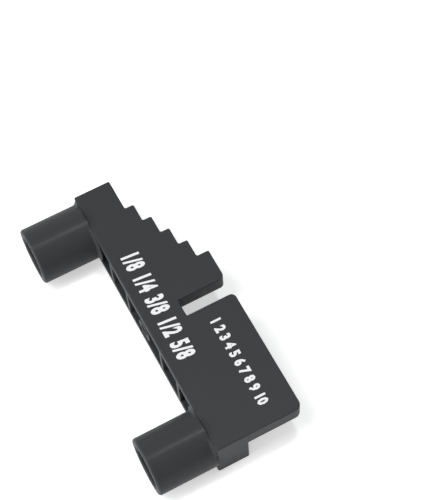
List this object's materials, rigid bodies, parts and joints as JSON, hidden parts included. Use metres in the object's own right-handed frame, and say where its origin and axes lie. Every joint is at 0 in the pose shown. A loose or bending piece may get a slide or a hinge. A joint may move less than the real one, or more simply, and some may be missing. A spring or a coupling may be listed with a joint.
{
  "type": "center finder",
  "caption": "Moulded marking gauge: a bar with a stepped, slotted plate on its fence side and round hollow posts opposite, for centre and offset lines.",
  "frame": {"origin": "on the axis of the pencil hole, midway between the posts, in the face of the bar that the posts stand on", "axes": "+X along the bar, away from its stepped end; +Y from the posts towards the plate, along the pencil hole; +Z out of the labelled face, up at rest"},
  "size_m": [0.1036, 0.0508, 0.0196],
  "materials": {
    "body": "fine moulded texture, satin",
    "print": "thin white ink, flat"
  },
  "bodies": {
    "root": {"center_finder": "body"}
  },
  "joints": []
}
